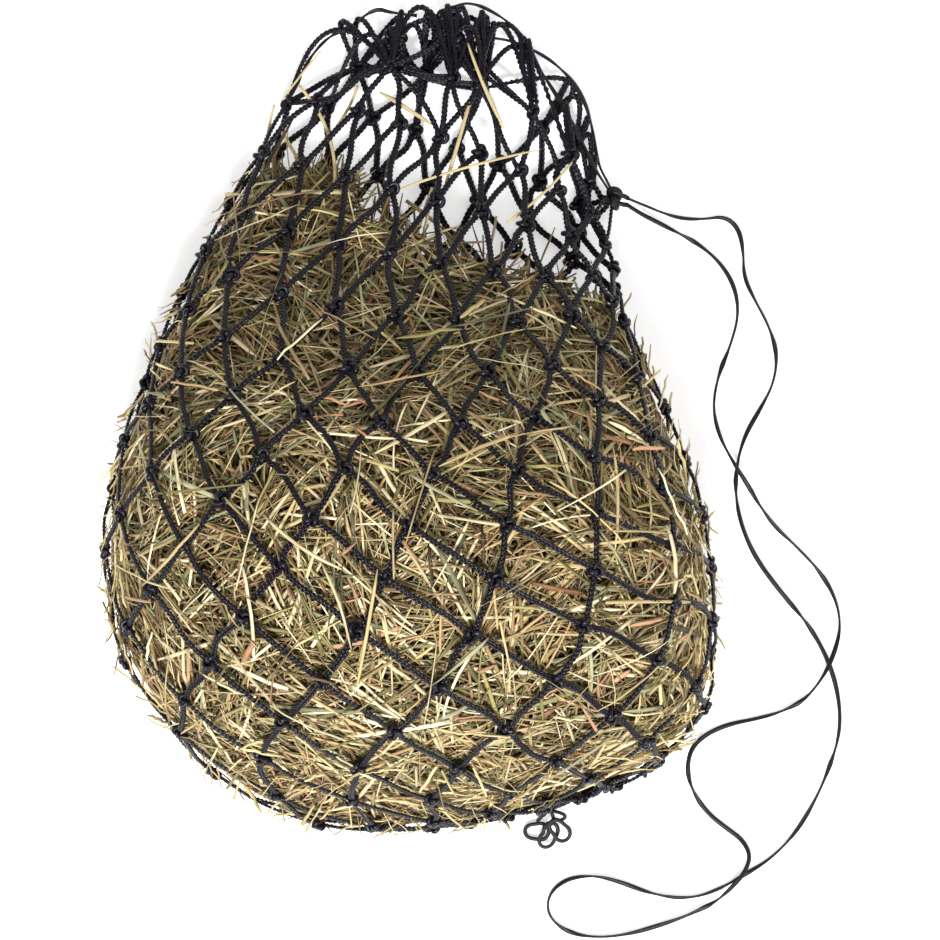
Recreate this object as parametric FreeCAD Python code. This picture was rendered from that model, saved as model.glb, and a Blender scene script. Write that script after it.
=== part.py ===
"""A small-holed hay net, filled with hay and lying on a flat surface with its neck towards +Y.

The net is one tube of knotted diamond mesh. It is gathered into a bunch at the base, swells
round the hay, and runs out into an empty neck whose last meshes hang on a drawcord.
Millimetres, +Z up. z = 0 is the surface that the net lies on, and the origin is the middle of
the net's box there. Legs of twine are straight cylinders, and knots are balls.
"""
import FreeCAD, Part
import os
from math import cos, hypot, pi, sin, tan

V = FreeCAD.Vector

# ---------------------------------------------------------------- the net
TWINE_D = 4.4                # netting twine
KNOT_D = 11.2                # sheet-bend knot
FIT = 0.35                   # air between a knot and the end of a leg
LEG_AIR = 0.25               # least air between two legs
LEG_OFFSET = 2.5             # the two legs leave a knot this far either side of its middle
SHORTEN_BY = 0.5             # step in which a leg is drawn back from one that it would touch
SHORTEST_LEG = 4.0

COLUMNS = 16                 # meshes round the net
KNOT_ROWS = 16               # rows of knots between the base bunch and the mouth
FIRST_PHASE = 0.8            # where row 0 starts, in meshes from the left-hand edge
FLATTENED = 9.0              # how far the underside would reach below the floor if it were round
ROUND_TOP = 0.9              # exponent of the upper half of a section, where 1 is an ellipse
ROUND_UNDER = 0.5            # exponent of the lower half, where less is flatter
SAMPLES = 360                # points on a section when lengths are measured along it

# Each row of meshes is one closed line round the bag. Stations along the net: row, left edge
# (x, y), right edge (x, y), crown height, edge height, how far the line bows towards the base
# on top and underneath, and the share of its meshes that lie on top.
STATIONS = [
    (0,  (66, -254),   (139, -229),  30, 17,   4,  -6, 0.50),
    (2,  (-80, -247),  (168, -205),  60, 32,  22, -26, 0.46),
    (4,  (-161, -176), (188, -173), 140, 60,  38, -25, 0.44),
    (6,  (-187, -108), (191, -118), 190, 78,  46, -22, 0.44),
    (8,  (-186, -40),  (183, -56),  208, 85,  46, -20, 0.49),
    (10, (-166, 25),   (160, 10),   196, 80,  49, -14, 0.55),
    (12, (-144, 83),   (136, 66),   150, 62,  45,  -8, 0.56),
    (14, (-116, 142),  (131, 99),    78, 34,  18,  -4, 0.54),
    (16, (-80, 207),   (119, 131),   29, 17, -14, -14, 0.50),
]

# ---------------------------------------------------------------- base
BUNCH_D = 14.0                                       # the base meshes, drawn together
BUNCH_ENDS = (V(79, -247, 12.5), V(140, -222, 12.5))
BUNCH_BARE = 19.0                                    # its free end, which the gather cord holds
GATHER_CORD_D = 2.4
LOOP_D = 13.6                                        # tie loops of thin cord
LOOP_CORD_D = 2.6
LOOPS = [                                            # centre, tilt about X, tilt about Y
    (V(82.0, -264.5, 3.0), 4, -4),
    (V(89.5, -266.5, 6.6), 6, 5),
    (V(96.5, -263, 10.4), 9, 8),
]

# ---------------------------------------------------------------- hay
HAY_INSET = 10.5             # the hay stays this far inside the middle of the twine
# The hay lies in flakes, cut across Y: where each cut crosses x = 0, and its slope y / x
FLAKE_CUTS = [(-205, 0), (-142, 0), (-76, 0), (-4, 0), (62, -0.08), (115, -0.2)]
FLAKE_GAP = 0.5
FLAKE_SIDES = 28
FLAKE_SECTIONS = 4
TUFT = (V(-64, 156, 19), V(30, 12, 8))               # loose hay in the neck: middle, half sizes
TUFT_TURN = -10                                      # degrees about Z

# ---------------------------------------------------------------- mouth and drawcord
CORD_D = 3.2
EXIT_KNOT = V(131, 146, 9.0)
EXIT_KNOT_D = 15.0
# meshes drawn together on the cord: middle, half width and half height of each end
MOUTH_BUNCHES = {
    "mouth_bunch_left": (V(-8, 261, 11), 6, 6, V(-11, 240, 12), 14, 8.5),
    "mouth_bunch_right": (V(24, 268, 11), 7, 6, V(34, 247, 12), 13, 8),
}
# where the last meshes hang, from the left bunch round to the exit knot
HUNG_ON_TOP = [V(-22, 233, 17), V(-14, 233, 20), V(-6, 233, 20), V(2, 234, 17),
               V(29, 240, 19), V(39, 238, 18), V(72, 228, 16), V(98, 201, 16)]
HUNG_UNDERNEATH = [V(-18, 233, 6.5), V(-5, 233, 6), V(24, 239, 6), V(36, 237, 6),
                   V(58, 234, 6), V(86, 214, 6), V(107, 186, 6), V(117, 167, 6)]
# the drawcord where the net holds it, as the points where straight runs would meet
CORD_IN_MOUTH = {
    "outer": [V(128, 156, 7), V(122, 167, 6), V(119, 181, 5), V(117, 196, 5), V(112, 211, 5),
              V(103, 225, 5), V(91, 236, 5), V(77, 244, 5), V(63, 249, 6), V(50, 250.5, 8)],
    "inner": [V(31, 272, 12), V(42, 272, 10), V(55, 266, 9), V(67, 257, 10), V(76, 245, 10.4),
              V(82, 232, 10.4), V(92, 216, 10.8), V(103, 199, 10.8), V(111, 182, 10.8),
              V(117, 169, 10.8), V(123, 159, 11.2)],
    "left": [V(-13, 266, 11), V(-21, 269, 9), V(-30, 265, 7), V(-37, 258, 6),
             V(-46, 255, 6), V(-57, 248, 6), V(-67, 235, 6)],
}
# the free part of the drawcord: one long loop, out of the exit knot and back to it
CORD_FREE = [
    (139.5, 146.5, 8.0), (149, 143, 5.6), (161, 138, 3.2), (175, 133.5, 1.8), (190, 133, 1.8),
    (204, 135, 1.8), (213, 127, 1.8), (216, 112, 1.8), (216, 96, 1.8), (223, 81, 1.8),
    (232, 65, 1.8), (238, 46, 1.8), (236, 27, 1.8), (227, 10, 1.8), (217, -7, 1.8),
    (212, -24, 1.8), (210.5, -42, 1.8), (213.5, -63, 1.8), (223, -86, 1.8), (240, -109, 1.8),
    (259, -131, 1.8), (271.5, -154, 1.8), (278, -177, 1.8), (279, -200, 1.8), (272, -223, 1.8),
    (262, -246, 1.8), (249, -267, 1.8), (234, -282, 1.8), (218, -292, 1.8), (202, -301, 1.8),
    (187, -307, 1.8), (171, -308, 1.8), (153, -304, 1.8), (135, -297, 1.8), (118, -293, 1.8),
    (102, -295, 1.8), (90.5, -303.5, 1.8), (88, -316, 1.8), (95, -326, 1.8), (108, -332, 1.8),
    (125, -333.5, 1.8), (143, -331, 1.8), (160, -326, 1.8), (175, -321, 2.2), (188, -315, 4.4),
    (199, -308.5, 7.4), (208, -300, 8.6), (216, -291, 8.6), (220.5, -280.5, 6.0),
    (215.5, -270, 3.2), (205, -262.5, 1.8), (193, -253, 1.8), (183.5, -240, 1.8),
    (179, -225, 1.8), (182, -210, 1.8), (193, -200.5, 1.8), (208, -194.5, 1.8),
    (224, -191.5, 1.8), (240.5, -187, 1.8), (255, -179.5, 4.6), (266.5, -165, 8.6),
    (274.5, -148.5, 8.6), (279, -131, 4.6), (276, -113, 1.8), (265.5, -95.5, 1.8),
    (250.5, -79.5, 1.8), (236.5, -67, 1.8), (226, -52.5, 4.6), (217, -37.5, 8.6),
    (206.5, -21, 8.6), (199, -5, 4.6), (196, 13, 1.8), (200, 33, 1.8), (208, 52, 1.8),
    (213, 71, 1.8), (210.5, 89, 1.8), (201, 105, 1.8), (187, 117, 1.8), (171, 125.5, 1.8),
    (158, 132, 3.2), (148, 137, 5.6), (139.4, 142.4, 8.0),
]
ARC_SHARE = 0.45             # how much of the shorter run an arc may use at each corner

TWINE_R, KNOT_R, CORD_R = TWINE_D / 2, KNOT_D / 2, CORD_D / 2


# ---------------------------------------------------------------- the surface of the bag
def smooth(x, xs, ys):
    """The cubic through the stations (xs, ys), whose slopes come from their neighbours."""
    last = len(xs) - 1
    i = max([k for k in range(last) if xs[k] <= x] or [0])

    def slope(k):
        before, after = max(k - 1, 0), min(k + 1, last)
        return (ys[after] - ys[before]) / (xs[after] - xs[before])

    step = xs[i + 1] - xs[i]
    t = (x - xs[i]) / step
    return ((2 * t**3 - 3 * t**2 + 1) * ys[i] + (t**3 - 2 * t**2 + t) * step * slope(i)
            + (3 * t**2 - 2 * t**3) * ys[i + 1] + (t**3 - t**2) * step * slope(i + 1))


def station(row, pick):
    return smooth(row, [s[0] for s in STATIONS], [pick(s) for s in STATIONS])


def row_line(row):
    """The closed line of a row, as a function of the angle round it.

    Angle 0 is the left edge, and the upper side comes first.
    """
    left = V(station(row, lambda s: s[1][0]), station(row, lambda s: s[1][1]), 0)
    right = V(station(row, lambda s: s[2][0]), station(row, lambda s: s[2][1]), 0)
    crown, edge, bow_top, bow_under = (station(row, lambda s, i=i: s[i]) for i in (3, 4, 5, 6))
    chord = right - left
    to_base = V(chord.y, -chord.x, 0).normalize()

    def point(angle):
        rise = sin(angle)
        if rise >= 0:
            bow = bow_top * rise
            z = edge + (crown - edge) * rise ** ROUND_TOP
        else:
            bow = bow_under * -rise
            z = max(KNOT_R, edge - (edge - KNOT_R + FLATTENED) * (-rise) ** ROUND_UNDER)
        flat = left + chord * ((1 - cos(angle)) / 2) + to_base * bow
        return V(flat.x, flat.y, z)

    return point


def row_knots(row):
    """The knots of a row, evenly spaced along its upper side and along its underside."""
    point = row_line(row)
    line = [point(2 * pi * i / SAMPLES) for i in range(SAMPLES + 1)]
    run = [0.0]
    for a, b in zip(line, line[1:]):
        run.append(run[-1] + a.distanceToPoint(b))
    top, whole = run[SAMPLES // 2], run[-1]
    share = station(row, lambda s: s[7])
    knots = []
    for k in range(COLUMNS):
        part = ((k + FIRST_PHASE + (row % 2) / 2) / COLUMNS) % 1.0
        if part < share:
            along = part / share * top
        else:
            along = top + (part - share) / (1 - share) * (whole - top)
        i = max(j for j in range(SAMPLES) if run[j] <= along)
        knots.append(line[i] + (line[i + 1] - line[i]) * ((along - run[i]) / (run[i + 1] - run[i])))
    return knots


# ---------------------------------------------------------------- legs of twine
def closest(p, q, a, b):
    """Distance between the segments p-q and a-b, and how far along p-q the nearest point is."""
    d1, d2, r = q - p, b - a, p - a
    len1, len2, mixed = d1.dot(d1), d2.dot(d2), d1.dot(d2)
    c, f = d1.dot(r), d2.dot(r)
    spread = len1 * len2 - mixed * mixed
    s = min(max((mixed * f - c * len2) / spread if spread > 1e-9 else -c / len1, 0), 1)
    t = (mixed * s + f) / len2 if len2 > 1e-9 else 0.0
    if not 0 <= t <= 1:
        t = min(max(t, 0), 1)
        s = min(max((mixed * t - c) / len1, 0), 1)
    return (p + d1 * s).distanceToPoint(a + d2 * t), s


def clear_leg(leg, others, least):
    """Draw the ends of a leg back until it is at least `least` from every other segment."""
    p, q = leg
    for a, b in others:
        while True:
            gap, along = closest(p, q, a, b)
            if gap >= least or p.distanceToPoint(q) < SHORTEST_LEG:
                break
            back = (q - p).normalize() * SHORTEN_BY
            if along < 0.5:
                p = p + back
            else:
                q = q - back
    return p, q


def leg_between(knot_a, side_a, knot_b, side_b):
    """A leg between two knots, from beside the middle of each, clear of both balls."""
    a, b = knot_a + side_a * LEG_OFFSET, knot_b + side_b * LEG_OFFSET
    along = (b - a).normalize()
    start = a + along * (KNOT_R + FIT - (a - knot_a).dot(along))
    end = b - along * (KNOT_R + FIT - (knot_b - b).dot(along))
    return start, end


def sideways(knots, k):
    """The direction of the row at knot k, towards the next knot."""
    return (knots[(k + 1) % COLUMNS] - knots[k - 1]).normalize()


def neighbours(row, k):
    """The knots of the next row that knot k ties to: first the one behind, then the one ahead."""
    return ((k - 1) % COLUMNS, k) if row % 2 == 0 else (k, (k + 1) % COLUMNS)


def course(row, rows, placed):
    """The legs between a row of knots and the next."""
    legs = []
    for k, knot in enumerate(rows[row]):
        for turn, other in zip((-1, 1), neighbours(row, k)):
            leg = leg_between(knot, sideways(rows[row], k) * turn,
                              rows[row + 1][other], sideways(rows[row + 1], other) * -turn)
            legs.append(clear_leg(leg, placed + legs, TWINE_D + LEG_AIR))
    return legs


def gathered(knots, row, targets, solid_lines, placed):
    """Legs from a row of knots that run together to the targets, clear of the solid lines."""
    legs = []
    for k, knot in enumerate(knots):
        others = [(c, c) for c in knots if c is not knot]
        for turn, other in zip((-1, 1), neighbours(row, k)):
            a = knot + sideways(knots, k) * turn * LEG_OFFSET
            spread = (targets[(other + 1) % COLUMNS] - targets[other - 1]).normalize()
            b = targets[other] - spread * turn * LEG_OFFSET
            along = (b - a).normalize()
            leg = (a + along * (KNOT_R + FIT - (a - knot).dot(along)), b)
            leg = clear_leg(leg, others, KNOT_R + TWINE_R + LEG_AIR)
            for p, q, radius in solid_lines:
                leg = clear_leg(leg, [(p, q)], radius + TWINE_R + LEG_AIR)
            legs.append(clear_leg(leg, placed + legs, TWINE_D + LEG_AIR))
    return legs


def rods(legs, radius=TWINE_R):
    return [Part.makeCylinder(radius, p.distanceToPoint(q), p, q - p)
            for p, q in legs if p.distanceToPoint(q) >= SHORTEST_LEG]


def balls(centres, radius=KNOT_R):
    return [Part.makeSphere(radius, c) for c in centres]


# ---------------------------------------------------------------- cords
def cord_edges(points, name):
    """Straight runs joined by arcs as large as the two runs at each corner allow."""
    edges, start, radii = [], points[0], []
    for before, corner, after in zip(points, points[1:], points[2:]):
        into, out = (corner - before), (after - corner)
        half_turn = into.getAngle(out) / 2
        back = ARC_SHARE * min(into.Length, out.Length)
        radii.append(back / tan(half_turn))
        into.normalize()
        out.normalize()
        first, last = corner - into * back, corner + out * back
        bisector = (out - into).normalize()
        centre_away = hypot(back, radii[-1])
        middle = corner + bisector * (centre_away - radii[-1])
        edges.append(Part.LineSegment(start, first).toShape())
        edges.append(Part.Arc(first, middle, last).toShape())
        start = last
    edges.append(Part.LineSegment(start, points[-1]).toShape())
    print(f"{name}: {len(points)} points, least radius {min(radii):.1f} mm")
    return edges


def cord_tube(points, diameter, name):
    wire = Part.Wire(cord_edges(points, name))
    section = Part.Wire(Part.makeCircle(diameter / 2, points[0], points[1] - points[0]))
    tube = wire.makePipeShell([section], True, False)
    expected = pi * diameter**2 / 4 * wire.Length
    print(f"{name}: {wire.Length:.0f} mm long, volume {tube.Volume / expected:.4f} of section x length")
    return tube


def tie_loop(centre, tilt_x, tilt_y):
    ring = Part.makeTorus(LOOP_D / 2, LOOP_CORD_D / 2)
    ring.rotate(V(0, 0, 0), V(1, 0, 0), tilt_x)
    ring.rotate(V(0, 0, 0), V(0, 1, 0), tilt_y)
    ring.translate(centre)
    return ring


# ---------------------------------------------------------------- bunches
def base_bunch():
    a, b = BUNCH_ENDS
    along = b - a
    body = Part.makeCylinder(BUNCH_D / 2, along.Length, a, along)
    return body.fuse([Part.makeSphere(BUNCH_D / 2, a), Part.makeSphere(BUNCH_D / 2, b)]).removeSplitter()


def gather_cord():
    a, b = BUNCH_ENDS
    along = (b - a).normalize()
    ring_r = (BUNCH_D + GATHER_CORD_D) / 2 + 0.1
    turns = []
    for turn in range(2):
        at = a + along * (2 + turn * (GATHER_CORD_D + 0.3))
        turns.append(Part.makeTorus(ring_r, GATHER_CORD_D / 2, at, along))
    return turns


def mouth_bunch(tip, tip_half, tip_rise, root, root_half, root_rise):
    """A flattened cone of meshes, from its narrow tip on the cord to where they spread."""
    along = (root - tip).normalize()
    across = V(0, 0, 1).cross(along).normalize()
    wires = []
    for middle, half, rise in ((tip, tip_half, tip_rise), (root, root_half, root_rise)):
        ellipse = Part.Ellipse(middle + across * half, middle + along.cross(across) * rise, middle)
        wires.append(Part.Wire(ellipse.toShape()))
    return Part.makeLoft(wires, True, True)


# ---------------------------------------------------------------- hay
def bag_section(y, slope):
    """The net's outline in the upright plane through (0, y) with that slope, drawn in by HAY_INSET."""
    outline = []
    for i in range(FLAKE_SIDES):
        angle = 2 * pi * (i + 0.5) / FLAKE_SIDES
        low, high = 0.0, float(KNOT_ROWS)
        for _ in range(30):
            row = (low + high) / 2
            here = row_line(row)(angle)
            if here.y - slope * here.x < y:
                low = row
            else:
                high = row
        outline.append(row_line(low)(angle))
    drawn_in = []
    for before, here, after in zip(outline[-1:] + outline[:-1], outline, outline[1:] + outline[:1]):
        tangent = after - before
        inwards = V(tangent.z, 0, -tangent.x).normalize()
        x = here.x + inwards.x * HAY_INSET
        drawn_in.append(V(x, y + slope * x, here.z + inwards.z * HAY_INSET))
    return drawn_in


def hay_flake(start, end):
    (y0, slope0), (y1, slope1) = start, end
    y0, y1 = y0 + FLAKE_GAP / 2, y1 - FLAKE_GAP / 2
    wires = []
    for i in range(FLAKE_SECTIONS):
        t = i / (FLAKE_SECTIONS - 1)
        curve = Part.BSplineCurve()
        curve.interpolate(bag_section(y0 + (y1 - y0) * t, slope0 + (slope1 - slope0) * t),
                          PeriodicFlag=True)
        wires.append(Part.Wire(curve.toShape()))
    return Part.makeLoft(wires, True, False)


def hay_tuft():
    middle, half = TUFT
    stretch = FreeCAD.Matrix()
    stretch.scale(half)
    tuft = Part.makeSphere(1).transformGeometry(stretch)
    tuft.rotate(V(0, 0, 0), V(0, 0, 1), TUFT_TURN)
    tuft.translate(middle)
    return tuft


# ---------------------------------------------------------------- the whole net
def base_targets():
    """Where the first meshes enter the base bunch: along its axis and back."""
    start, end = BUNCH_ENDS
    start = start + (end - start).normalize() * BUNCH_BARE
    targets = []
    for k in range(COLUMNS):
        part = (k + FIRST_PHASE) / COLUMNS % 1.0
        targets.append(start + (end - start) * (1 - abs(2 * part - 1)))
    return targets


def build_net():
    rows = [row_knots(row) for row in range(KNOT_ROWS + 1)]
    nodes, legs = {}, []
    bunch_a, bunch_b = BUNCH_ENDS
    bare = bunch_a + (bunch_b - bunch_a).normalize() * GATHER_CORD_D * 4
    lines = [(bunch_a, bunch_b, BUNCH_D / 2), (bunch_a, bare, BUNCH_D / 2 + GATHER_CORD_D)]
    base = gathered(rows[1], 1, base_targets(), lines, [])
    nodes["base_course"] = rods(base)
    legs += base
    for row in range(1, KNOT_ROWS):
        made = course(row, rows, legs)
        legs += made
        nodes[f"mesh_course_{row:02d}"] = rods(made)
    for row in range(1, KNOT_ROWS + 1):
        nodes[f"knot_row_{row:02d}"] = balls(rows[row])
    hung = HUNG_ON_TOP[1:] + HUNG_UNDERNEATH[::-1] + HUNG_ON_TOP[:1]
    cord = [(a, b, CORD_R) for route in CORD_IN_MOUTH.values() for a, b in zip(route, route[1:])]
    mouth = gathered(rows[KNOT_ROWS], KNOT_ROWS, hung, cord, legs)
    nodes["mouth_course"] = rods(mouth)
    return nodes


def main():
    nodes = build_net()
    nodes["base_bunch"] = [base_bunch()]
    nodes["base_gather_cord"] = gather_cord()
    nodes["base_tie_loops"] = [tie_loop(*loop) for loop in LOOPS]
    for i, (start, end) in enumerate(zip(FLAKE_CUTS, FLAKE_CUTS[1:])):
        nodes[f"hay_flake_{i + 1}"] = [hay_flake(start, end)]
    nodes["hay_tuft_in_neck"] = [hay_tuft()]
    for name, shape in MOUTH_BUNCHES.items():
        nodes[name] = [mouth_bunch(*shape)]
    nodes["drawcord_in_mouth"] = [cord_tube(points, CORD_D, f"drawcord_{name}")
                                  for name, points in CORD_IN_MOUTH.items()]
    nodes["drawcord_exit_knot"] = [Part.makeSphere(EXIT_KNOT_D / 2, EXIT_KNOT)]
    nodes["drawcord_free_loop"] = [cord_tube([V(*p) for p in CORD_FREE], CORD_D, "drawcord_free_loop")]
    os.makedirs("parts", exist_ok=True)
    box = FreeCAD.BoundBox()
    for name, solids in nodes.items():
        shape = solids[0] if len(solids) == 1 else Part.makeCompound(solids)
        shape.exportStep(f"parts/{name}.step")
        if name != "drawcord_free_loop":
            box.add(shape.BoundBox)
    print(f"{len(nodes)} nodes, box of all but the free cord: x {box.XMin:.2f} to {box.XMax:.2f}, "
          f"y {box.YMin:.2f} to {box.YMax:.2f}, z {box.ZMin:.2f} to {box.ZMax:.2f}")


main()
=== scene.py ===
"""The looks of a small-holed hay net that is packed with hay and lies on a pale surface.

Twine is a three-strand plait and a knot is a wound tube. In the bag and the neck they run where
the CAD legs and knots are; the base and the mouth have strands and knots of their own as well.
The hay is a dark core of painted shade with thousands of stems and blades laid over it. Metres,
+Z up. Lists of places and routes are in millimetres.
"""

import math
import bpy
import numpy as np
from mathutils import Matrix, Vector
from mathutils.kdtree import KDTree


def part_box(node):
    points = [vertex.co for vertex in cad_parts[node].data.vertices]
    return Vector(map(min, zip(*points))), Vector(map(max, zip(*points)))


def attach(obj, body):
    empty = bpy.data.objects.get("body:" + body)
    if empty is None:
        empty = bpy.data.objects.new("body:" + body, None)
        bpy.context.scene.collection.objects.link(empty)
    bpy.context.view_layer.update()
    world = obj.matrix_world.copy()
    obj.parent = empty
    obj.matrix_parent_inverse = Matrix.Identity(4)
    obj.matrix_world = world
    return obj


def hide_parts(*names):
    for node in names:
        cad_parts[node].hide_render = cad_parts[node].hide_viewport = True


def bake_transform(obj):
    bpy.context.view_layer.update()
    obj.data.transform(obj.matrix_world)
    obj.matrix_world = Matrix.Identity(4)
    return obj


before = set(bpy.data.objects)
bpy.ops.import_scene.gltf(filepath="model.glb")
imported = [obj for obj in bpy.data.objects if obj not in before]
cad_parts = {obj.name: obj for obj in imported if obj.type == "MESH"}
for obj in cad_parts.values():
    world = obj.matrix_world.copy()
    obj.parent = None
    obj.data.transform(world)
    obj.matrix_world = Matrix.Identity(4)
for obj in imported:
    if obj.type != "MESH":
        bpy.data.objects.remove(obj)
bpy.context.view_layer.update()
MM = 0.001
RNG = np.random.default_rng(20)

# ---------------------------------------------------------------- driving sizes
TWINE_HALF = 1.3 * MM        # how far a plait's strands swing from side to side
TWINE_RISE = 0.6 * MM        # and up and down
STRAND_R = 0.98 * MM
STRAND_FLAT = 0.85           # a strand's thickness as a share of its width
STRAND_SIDES = 5
PLAIT_PITCH = 9.0 * MM
ROWS = 16                    # rows of knots
HAY_ROWS = 13                # the courses below this one are pressed out by the hay
FOLD_ROW = 14                # the course that bends as the neck folds
KNOT_LOOP = 4.2 * MM         # radius of the loops of a sheet bend
KNOT_THICK = 1.75 * MM       # half the width of the tube that a knot is wound from
FLOOR_AIR = 2.4 * MM         # the middle of the twine stays this far above the surface
CORE_DEPTH = 18 * MM         # the dark core of painted shade behind the hay lies this far inside the net
CORD_WIDTH = 3.2 * MM        # the drawcord is a flat braid
CORD_THICK = 1.7 * MM


# ---------------------------------------------------------------- reading the frame
def loose_parts(node):
    """The separate solids of a CAD node, each as its array of vertices."""
    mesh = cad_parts[node].data
    co = np.array([v.co for v in mesh.vertices], float).reshape(-1, 3)
    _, same = np.unique(np.round(co / 1e-6).astype(np.int64), axis=0, return_inverse=True)
    same = same.reshape(-1)
    label = np.arange(same.max() + 1)
    edges = np.array([e.vertices[:] for e in mesh.edges])
    a, b = same[edges[:, 0]], same[edges[:, 1]]
    while True:
        low = np.minimum(label[a], label[b])
        new = label.copy()
        np.minimum.at(new, a, low)
        np.minimum.at(new, b, low)
        new = new[new]
        if (new == label).all():
            break
        label = new
    part = label[same]
    return [co[part == p] for p in np.unique(part)]


def leg_ends(points):
    """The two ends of a straight leg's axis."""
    middle = points.mean(0)
    axis = np.linalg.svd(points - middle, full_matrices=False)[2][0]
    along = (points - middle) @ axis
    lo, hi = along.min(), along.max()
    return points[along < lo + 1e-4].mean(0), points[along > hi - 1e-4].mean(0)


def box_middle(points):
    return (points.min(0) + points.max(0)) / 2


KNOTS = [None] + [np.array([box_middle(p) for p in loose_parts(f"knot_row_{r:02d}")])
                  for r in range(1, ROWS + 1)]
LEGS = {r: [leg_ends(p) for p in loose_parts(f"mesh_course_{r:02d}")] for r in range(1, ROWS)}
BASE_LEGS = [leg_ends(p) for p in loose_parts("base_course")]
MOUTH_LEGS = [leg_ends(p) for p in loose_parts("mouth_course")]


# ---------------------------------------------------------------- the surface of the bag
def around(row):
    """Angle of each knot round its row, from -pi at the left edge underneath."""
    lo, hi = row.min(0), row.max(0)
    mid, half = (lo + hi) / 2, (hi - lo) / 2
    return np.arctan2((row[:, 2] - mid[2]) / half[2], (row[:, 0] - mid[0]) / half[0])


def closed_curve(row, angles):
    """The smooth closed line through a row of knots."""
    theta = around(row)
    order = np.argsort(theta)
    t, p = theta[order], row[order]
    t = np.concatenate([t[-2:] - 2 * np.pi, t, t[:3] + 2 * np.pi])
    p = np.concatenate([p[-2:], p, p[:3]])
    slope = (p[2:] - p[:-2]) / (t[2:] - t[:-2])[:, None]
    t, p = t[1:-1], p[1:-1]
    i = np.clip(np.searchsorted(t, angles, side="right") - 1, 0, len(t) - 2)
    step = (t[i + 1] - t[i])[:, None]
    u = ((angles - t[i]) / step[:, 0])[:, None]
    return ((2 * u**3 - 3 * u**2 + 1) * p[i] + (u**3 - 2 * u**2 + u) * step * slope[i]
            + (3 * u**2 - 2 * u**3) * p[i + 1] + (u**3 - u**2) * step * slope[i + 1])


AROUND, PER_ROW = 180, 10
ANGLES = np.linspace(-np.pi, np.pi, AROUND, endpoint=False)


def base_line():
    """A flat ring along the base bunch, where the meshes run together."""
    lo, hi = (np.array(c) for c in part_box("base_bunch"))
    mid, half = (lo + hi) / 2, (hi - lo) / 2
    across = np.cos(ANGLES)
    return np.stack([mid[0] + half[0] * 0.9 * across, mid[1] + half[1] * 0.6 * across,
                     mid[2] + half[2] * 0.8 * np.sin(ANGLES)], axis=1)


def bag_surface():
    """Points and outward normals of the bag as (rows, round, 3)."""
    lines = np.array([base_line()] + [closed_curve(KNOTS[r], ANGLES) for r in range(1, ROWS + 1)])
    padded = np.concatenate([2 * lines[:1] - lines[1:2], lines, 2 * lines[-1:] - lines[-2:-1]])
    out = []
    for r in range(ROWS):
        p0, p1, p2, p3 = padded[r:r + 4]
        for k in range(PER_ROW):
            u = k / PER_ROW
            out.append(0.5 * (2 * p1 + (p2 - p0) * u + (2 * p0 - 5 * p1 + 4 * p2 - p3) * u**2
                              + (3 * p1 - p0 - 3 * p2 + p3) * u**3))
    grid = np.array(out + [lines[-1]])
    along = np.gradient(grid, axis=0)
    round_ = np.roll(grid, -1, axis=1) - np.roll(grid, 1, axis=1)
    normal = np.cross(round_, -along)
    normal /= np.linalg.norm(normal, axis=2, keepdims=True) + 1e-12
    centre = grid.mean(axis=1, keepdims=True)
    if ((grid - centre) * normal).sum() < 0:
        normal = -normal
    return grid, normal


GRID, NORMAL = bag_surface()      # (rows, round, 3)
FLAT, FLAT_NORMAL = GRID.reshape(-1, 3), NORMAL.reshape(-1, 3)
TREE = KDTree(len(FLAT))
for index, point in enumerate(FLAT):
    TREE.insert(point, index)
TREE.balance()


def nearest(points):
    found = np.array([TREE.find(p)[1] for p in points.reshape(-1, 3)])
    shape = points.shape
    return FLAT[found].reshape(shape), FLAT_NORMAL[found].reshape(shape)


# ---------------------------------------------------------------- meshes
def unit(v):
    return v / (np.linalg.norm(v, axis=-1, keepdims=True) + 1e-12)


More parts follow.
